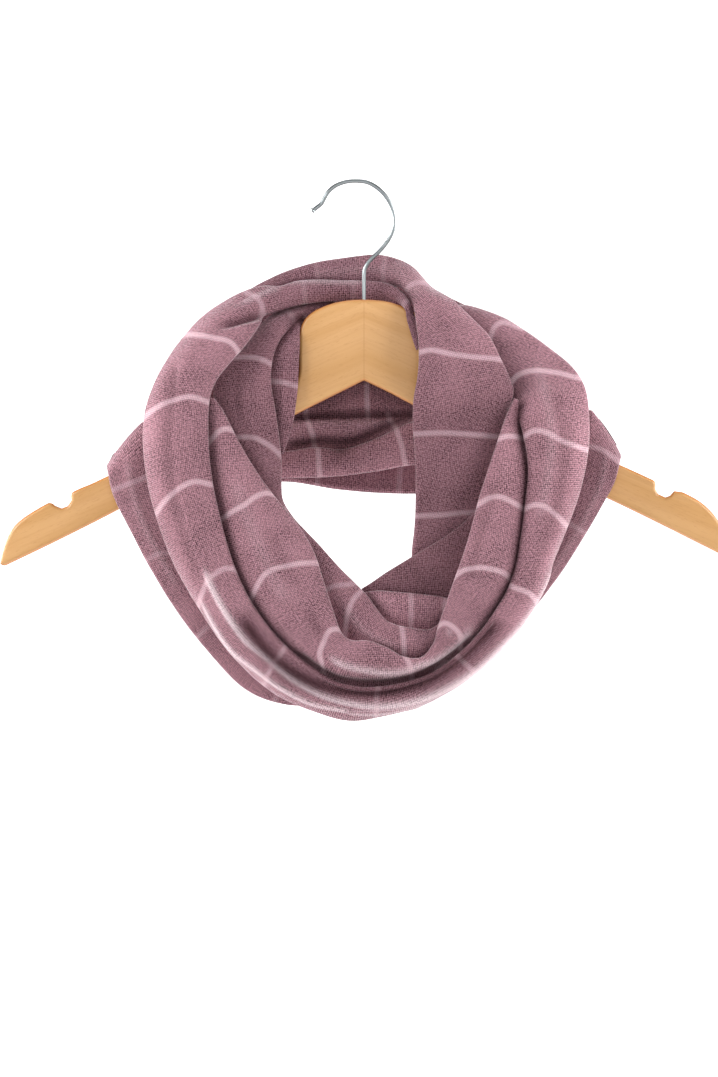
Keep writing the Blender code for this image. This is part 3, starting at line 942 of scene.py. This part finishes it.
def beech_material(settings):
    """Beech under clear satin lacquer, sawn and sanded: two halves glued at the middle, so the
    grain runs along each arm and meets in a chevron."""
    material, tree = new_material("lacquered_beech")
    spot = node(tree, "TexCoord").outputs["Object"]
    shift = (-(HEAD_U - CROOK_U) * GRID * MM, 0, 0)
    seam = node(tree, "Mapping", {"Vector": spot, "Location": shift}).outputs[0]
    # Folds the left half over the right one, so that the grain mirrors at the glue line
    mirrored = node(tree, "VectorMath", {0: seam}, operation="ABSOLUTE").outputs[0]
    from_seam = node(tree, "SeparateXYZ", {0: mirrored}).outputs[0]
    high = node(tree, "SeparateXYZ", {0: spot}).outputs
    at = node(tree, "CombineXYZ", {0: from_seam, 1: high[1], 2: high[2]}).outputs[0]
    # Soft bands, grain streaks 60 mm by 1.6 mm and short dark rays, 3.5 mm by 0.6 mm
    bands = wood_noise(tree, at, (0.14, 0.025, 0.014), 2.0, 0.5, 0.6)
    streaks = wood_noise(tree, at, (0.06, 0.0035, 0.0016), 4.0, 0.6, 0.35)
    rays = wood_noise(tree, at, (0.0035, 0.0011, 0.0006), 1.0, 0.5)
    colour = blend(tree, ranged(tree, bands, 0.3, 0.7), settings.wood_light, settings.wood_dark)
    # The last of the dark marks is the glue line, which fades out by 0.45 mm from the middle
    for share in (
        ranged(tree, streaks, 0.5, 0.78, 0.0, 0.22),
        ranged(tree, rays, 0.6, 0.72, 0.0, 0.2),
        ranged(tree, from_seam, 0.0001, 0.00045, 0.3, 0.0),
    ):
        colour = blend(tree, share, colour, settings.wood_grain)
    # Darker towards the outer side of the rounded rim
    surface(tree, {
        "Base Color": blend(tree, mark(tree, "rim"), colour, settings.wood_rim),
        "Roughness": 0.42,
        "IOR": 1.5,
        "Coat Weight": 0.2,
        "Coat Roughness": 0.25,
        "Normal": bump(tree, streaks, 0.12, 0.0002),
    })
    return material


def chrome_material():
    """Steel wire, drawn and chrome plated: a bright mirror with faint drawing marks."""
    material, tree = new_material("chrome_plated_steel_wire")
    marks = noise(tree, node(tree, "TexCoord").outputs["Object"], 900.0, 2.0, 0.6)
    surface(tree, {
        "Base Color": linear("#989EA0"),
        "Metallic": 1.0,
        "Roughness": ranged(tree, marks, 0.0, 1.0, 0.28, 0.38),
        "Specular Tint": linear("#24282A"),
    })
    return material


def paper_material(name, glow):
    """Matt white paper, lit from behind so that it stays pale."""
    material, tree = new_material(name)
    surface(tree, {
        "Base Color": linear("#F4F4F4"),
        "Roughness": 0.9,
        "Emission Color": linear("#FFFFFF"),
        "Emission Strength": glow,
    })
    return material


def rounded_outline(corners, steps):
    """The outline with its gentle bends smoothed and its sharp corners kept."""
    found = []
    count = len(corners)
    spots = np.array(corners, float)
    turn = []
    for a, b in zip(spots - np.roll(spots, 1, 0), np.roll(spots, -1, 0) - spots):
        cosine = (a @ b) / max(np.hypot(*a) * np.hypot(*b), 1e-9)
        turn.append(math.degrees(math.acos(max(-1.0, min(1.0, cosine)))))
    for i in range(count):
        b, c = spots[i], spots[(i + 1) % count]
        a = spots[i - 1] if turn[i] < SHARP_TURN else 2 * b - c
        d = spots[(i + 2) % count] if turn[(i + 1) % count] < SHARP_TURN else 2 * c - b
        run = np.hypot(*(c - b))
        a = b + (a - b) * min(1, run / max(np.hypot(*(a - b)), 1e-9))
        d = c + (d - c) * min(1, run / max(np.hypot(*(d - c)), 1e-9))
        # A short side beside a sharp corner stays whole, so that the rounded rim has room there
        sharp = max(turn[i], turn[(i + 1) % count]) > SHARP_TURN
        pieces = 1 if sharp and run < 12 else min(steps, max(1, int(run / 3.6)))
        for f in np.linspace(0, 1, pieces, endpoint=False):
            found.append(between(a, b, c, d, f))
    return np.array(found)


def metres(name, description, default, low, high, precision=4):
    """A setting that is a length in metres."""
    words = {"name": name, "description": description, "subtype": "DISTANCE", "unit": "LENGTH"}
    return FloatProperty(default=default, min=low, max=high, precision=precision, **words)


def tint(name, description, default):
    """A setting that is a colour."""
    words = {"name": name, "description": description, "subtype": "COLOR"}
    return FloatVectorProperty(default=default, size=4, min=0.0, max=1.0, **words)


class ScarfKnitSettings(bpy.types.PropertyGroup):
    """Sizes and colours of the knitted cloth"""

    cloth_thickness: metres(
        "Cloth Thickness", "Thickness of one layer of the knit", 0.0012, 0.0005, 0.003
    )
    stripe_width: metres("Stripe Width", "Width of a light cross stripe", 0.0035, 0.001, 0.01)
    stitch_pitch: metres(
        "Stitch Pitch", "Distance from one stitch to the next", 0.00115, 0.0005, 0.005
    )
    wrinkle_depth: metres(
        "Wrinkle Depth", "How far the soft wrinkles rise and fall", 0.0006, 0.0, 0.002
    )
    yarn_dark: tint("Dark Yarn", "Darker fibres of the heathered yarn", linear("#220D14"))
    yarn_light: tint("Light Yarn", "Lighter fibres of the heathered yarn", linear("#CE9AA6"))
    # Colour of the painted highlight along the ridges
    ridge_highlight_tint: tint("Ridge Highlight", "Painted highlight along the ridges", linear("#F0DCE1"))
    # Multiplier that paints shade into the knit's colour
    painted_shade_tint: tint(
        "Painted Shade",
        "How much of each colour is left where shade is painted",
        (0.28, 0.24, 0.25, 1.0),
    )
    stripe_yarn: tint("Stripe Yarn", "Pale yarn of the cross stripes", linear("#E3C0C9"))


class ScarfHangerSettings(bpy.types.PropertyGroup):
    """Sizes and colours of the hanger"""

    board_thickness: metres(
        "Board Thickness", "Thickness of the wooden body", 0.012, 0.006, 0.02, precision=2
    )
    rim_rounding: metres(
        "Rim Rounding", "How far the board's edges are rounded", 0.0024, 0.0005, 0.004
    )
    wire_radius: metres("Wire Radius", "Half the thickness of the hook's wire", 0.0012, 0.0005, 0.003)
    wood_light: tint("Light Wood", "Lighter bands of the wood", linear("#CF9F68"))
    wood_dark: tint("Dark Wood", "Darker bands of the wood", linear("#C39154"))
    wood_grain: tint("Grain", "Grain lines and rays of the wood", linear("#A16A30"))
    wood_rim: tint("Wood Rim", "Darker colour on the rounded rim", linear("#B5702E"))


class ScarfStageSettings(bpy.types.PropertyGroup):
    """Camera and light"""

    camera_distance: metres(
        "Camera Distance", "How far the camera stands from the hook", 9.0, 1.0, 20.0, precision=2
    )
    light_strength: FloatProperty(
        name="Light Strength",
        description="Brightness of the lamps",
        default=1.0,
        min=0.0,
        max=5.0,
        subtype="FACTOR",
    )


class Winding:
    """Winds each of the folds that an operator names"""

    def execute(self, context):
        for name in self.folds:
            wind(context, name)
        return {"FINISHED"}


class SCARF_OT_front_folds(Winding, bpy.types.Operator):
    """Winds the two folds of the front drape"""

    bl_idname = "scarf.front_folds"
    bl_label = "Front Folds"
    folds = ("front_outer", "front_inner")


class SCARF_OT_shoulder_folds(Winding, bpy.types.Operator):
    """Lays the folds that hang over the hanger's arms"""

    bl_idname = "scarf.shoulder_folds"
    bl_label = "Shoulder Folds"
    folds = ("under_front", "under_back")


class SCARF_OT_back_folds(Winding, bpy.types.Operator):
    """Lays the folds behind the neck"""

    bl_idname = "scarf.back_folds"
    bl_label = "Back Folds"
    folds = ("back_lower", "back_upper")


class SCARF_OT_neck_folds(Winding, bpy.types.Operator):
    """Winds the wide band over the hanger's head"""

    bl_idname = "scarf.neck_folds"
    bl_label = "Neck Folds"
    folds = ("neck_wrap",)


class SCARF_OT_inner_folds(Winding, bpy.types.Operator):
    """Winds the inner round and its hollow"""

    bl_idname = "scarf.inner_folds"
    bl_label = "Inner Folds"
    folds = ("inner_left", "neck_left", "inner_right", "inner_cradle")


class SCARF_OT_hanger_board(bpy.types.Operator):
    """Saws out the hanger's wooden body, rounds its rim and bores it for the hook"""

    bl_idname = "scarf.hanger_board"
    bl_label = "Hanger Board"

    def execute(self, context):
        settings = context.scene.scarf_hanger
        outline = rounded_outline(WOOD_OUTLINE, 4)
        select_nothing()
        bpy.ops.mesh.primitive_circle_add(vertices=len(outline), radius=0.2, fill_type="NGON")
        board = context.object
        board.name = "hanger_board"
        half = settings.board_thickness / 2
        for vertex, (u, v) in zip(board.data.vertices, outline):
            x, _, z = place(u, v, 0) * MM
            vertex.co = (x, -half, z)
        bpy.ops.object.mode_set(mode="EDIT")
        bpy.ops.mesh.select_all(action="SELECT")
        bpy.ops.mesh.extrude_region_move(
            TRANSFORM_OT_translate={"value": (0, settings.board_thickness, 0)}
        )
        bpy.ops.mesh.select_all(action="SELECT")
        bpy.ops.mesh.normals_make_consistent(inside=False)
        bpy.ops.object.mode_set(mode="OBJECT")
        rim = board.modifiers.new("rim", "BEVEL")
        rim.width = settings.rim_rounding
        rim.segments = 5
        rim.limit_method = "ANGLE"
        rim.angle_limit = math.radians(60)
        bpy.ops.object.modifier_apply(modifier=rim.name)
        bore_wood(board, settings)
        bpy.ops.object.shade_smooth_by_angle(angle=math.radians(35))
        # 1 on the outer side of the rim, fading to 0 where the rounding meets the flat faces
        rim_mark = board.data.attributes.new("rim", "FLOAT", "FACE")
        turned = [min(1.0, max(0.0, 2.6 - 2.8 * abs(face.normal.y))) for face in board.data.polygons]
        rim_mark.data.foreach_set("value", turned)
        board.data.materials.clear()
        board.data.materials.append(beech_material(settings))
        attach(board, "root")
        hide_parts("hanger_wood")
        return {"FINISHED"}


def bore_wood(board, settings):
    """Bores the hole for the shank down from the top of the head."""
    bpy.ops.mesh.primitive_cylinder_add(
        vertices=32,
        radius=settings.wire_radius + 0.0003,
        depth=0.036,
        location=place(HEAD_U, 295, 0) * MM,
    )
    drill = bpy.context.object
    select_only(board)
    cut = board.modifiers.new("bore", "BOOLEAN")
    cut.object = drill
    cut.operation = "DIFFERENCE"
    cut.solver = "EXACT"
    bpy.ops.object.modifier_apply(modifier=cut.name)
    bpy.data.objects.remove(drill)


class SCARF_OT_hanger_hook(bpy.types.Operator):
    """Bends the wire hook"""

    bl_idname = "scarf.hanger_hook"
    bl_label = "Hanger Hook"

    def execute(self, context):
        settings = context.scene.scarf_hanger
        route = smooth_through([place(u, v, 0) for u, v in WIRE_ROUTE], 200)
        select_nothing()
        bpy.ops.curve.primitive_nurbs_path_add()
        hook = context.object
        hook.name = "wire_hook"
        curve = hook.data
        curve.splines.clear()
        line = curve.splines.new("POLY")
        line.points.add(len(route) - 1)
        for point, spot in zip(line.points, route):
            point.co = (*(spot * MM), 1)
        # The tip is upset to a small rounded bead, so that it catches no cloth
        for k, swell in enumerate((0.5, 1.3, 1.45, 1.2, 1.0)):
            line.points[k].radius = swell
        curve.bevel_depth = settings.wire_radius
        curve.bevel_resolution = 6
        curve.use_fill_caps = True
        bpy.ops.object.convert(target="MESH")
        hook.data.shade_smooth()
        hook.data.materials.append(chrome_material())
        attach(hook, "root")
        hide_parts("hanger_hook")
        return {"FINISHED"}


def soft_lamp(name, spot, size, power):
    """A large square lamp at a spot, turned to the middle of the scarf."""
    lamp = bpy.data.lights.new(name, "AREA")
    lamp.shape = "SQUARE"
    lamp.size = size
    lamp.energy = power
    obj = bpy.data.objects.new(name, lamp)
    bpy.context.scene.collection.objects.link(obj)
    obj.location = spot
    way = [b - a for a, b in zip(spot, (0.0, 0.0, -0.2))]
    flat = math.hypot(way[0], way[1])
    obj.rotation_euler = (math.atan2(flat, -way[2]), 0, math.atan2(way[1], way[0]) - math.pi / 2)


# Each lamp: where it stands and how wide it is, in metres, and its power
LAMPS = {
    "key": ((-0.7, -0.36, 0.2), 0.4, 6.1),
    "fill": ((0.72, -0.36, 0.2), 0.4, 5.5),
    "front": ((0.05, -1.7, 0.35), 0.7, 3.0),
    "rim_left": ((-1.1, 0.5, 0.0), 0.8, 25.0),
    "rim_right": ((1.1, 0.5, 0.0), 0.8, 25.0),
    "top": ((0.0, 0.15, 0.9), 0.7, 4.0),
    "back": ((0.0, 1.3, -0.25), 1.3, 3.4),
    "below": ((0.0, 0.2, -0.85), 0.6, 1.6),
}


class SCARF_OT_stage(bpy.types.Operator):
    """Sets the pale floor and backdrop, the soft studio light and the camera"""

    bl_idname = "scarf.stage"
    bl_label = "Stage"

    def execute(self, context):
        settings = context.scene.scarf_stage
        scene = context.scene
        scene.view_settings.view_transform = "Standard"
        select_nothing()
        floor_at = (0, 0, -1.2)
        bpy.ops.mesh.primitive_circle_add(vertices=96, radius=14, fill_type="NGON", location=floor_at)
        floor = context.object
        floor.name = "pale_floor"
        floor.data.materials.append(paper_material("matt_white_floor_paper", 0.5))
        # A low paper wall stands round the floor, behind every place that the camera may take
        bpy.ops.mesh.primitive_cylinder_add(
            vertices=96, radius=14, depth=2.6, end_fill_type="NOTHING", location=(0, 0, 0.1)
        )
        wall = context.object
        wall.name = "paper_wall"
        wall.data.shade_smooth()
        wall.data.materials.append(paper_material("matt_white_wall_paper", 1.05))
        world = bpy.data.worlds.new("soft_white_room")
        scene.world = world
        world.use_nodes = True
        air = world.node_tree.nodes["Background"]
        air.inputs["Color"].default_value = linear("#FBFBFC")
        air.inputs["Strength"].default_value = 0.04
        for name, (spot, size, power) in LAMPS.items():
            soft_lamp(name, spot, size, power * settings.light_strength)
        lens = bpy.data.cameras.new("camera")
        camera = bpy.data.objects.new("camera", lens)
        scene.collection.objects.link(camera)
        centre = place(359, 538.5, 0) * MM
        camera.location = (centre[0], -settings.camera_distance, centre[2])
        camera.rotation_euler = (math.pi / 2, 0, 0)
        # The view is 1077 grid squares high where the front folds hang, 25 mm before the hook
        high = 1077 * GRID * MM
        lens.sensor_width = 36
        lens.lens = 36 * (settings.camera_distance - 0.025) / high
        lens.clip_end = 50
        scene.camera = camera
        return {"FINISHED"}


PIECES = (
    SCARF_OT_stage,
    SCARF_OT_hanger_board,
    SCARF_OT_hanger_hook,
    SCARF_OT_front_folds,
    SCARF_OT_shoulder_folds,
    SCARF_OT_back_folds,
    SCARF_OT_neck_folds,
    SCARF_OT_inner_folds,
)


class SCARF_PT_panel(bpy.types.Panel):
    """Lists the pieces of the scarf and its hanger"""

    bl_label = "Loop Scarf"
    bl_idname = "SCARF_PT_panel"
    bl_space_type = "VIEW_3D"
    bl_region_type = "UI"
    bl_category = "Scarf"

    def draw(self, context):
        layout = self.layout
        for name in GROUPS:
            group = getattr(context.scene, name)
            box = layout.box()
            box.label(text=name.removeprefix("scarf_").title())
            for key in group.__annotations__:
                box.prop(group, key)
        for operator in PIECES:
            layout.operator(operator.bl_idname)


GROUPS = {
    "scarf_knit": ScarfKnitSettings,
    "scarf_hanger": ScarfHangerSettings,
    "scarf_stage": ScarfStageSettings,
}
CLASSES = (*GROUPS.values(), *PIECES, SCARF_PT_panel)


def register():
    for cls in CLASSES:
        bpy.utils.register_class(cls)
    for name, group in GROUPS.items():
        setattr(bpy.types.Scene, name, PointerProperty(type=group))


def unregister():
    for name in GROUPS:
        delattr(bpy.types.Scene, name)
    for cls in reversed(CLASSES):
        bpy.utils.unregister_class(cls)


def main():
    register()
    bpy.ops.scarf.stage()
    bpy.ops.scarf.hanger_board()
    bpy.ops.scarf.hanger_hook()
    bpy.ops.scarf.front_folds()
    bpy.ops.scarf.shoulder_folds()
    bpy.ops.scarf.back_folds()
    bpy.ops.scarf.neck_folds()
    bpy.ops.scarf.inner_folds()


if __name__ == "__main__":
    main()
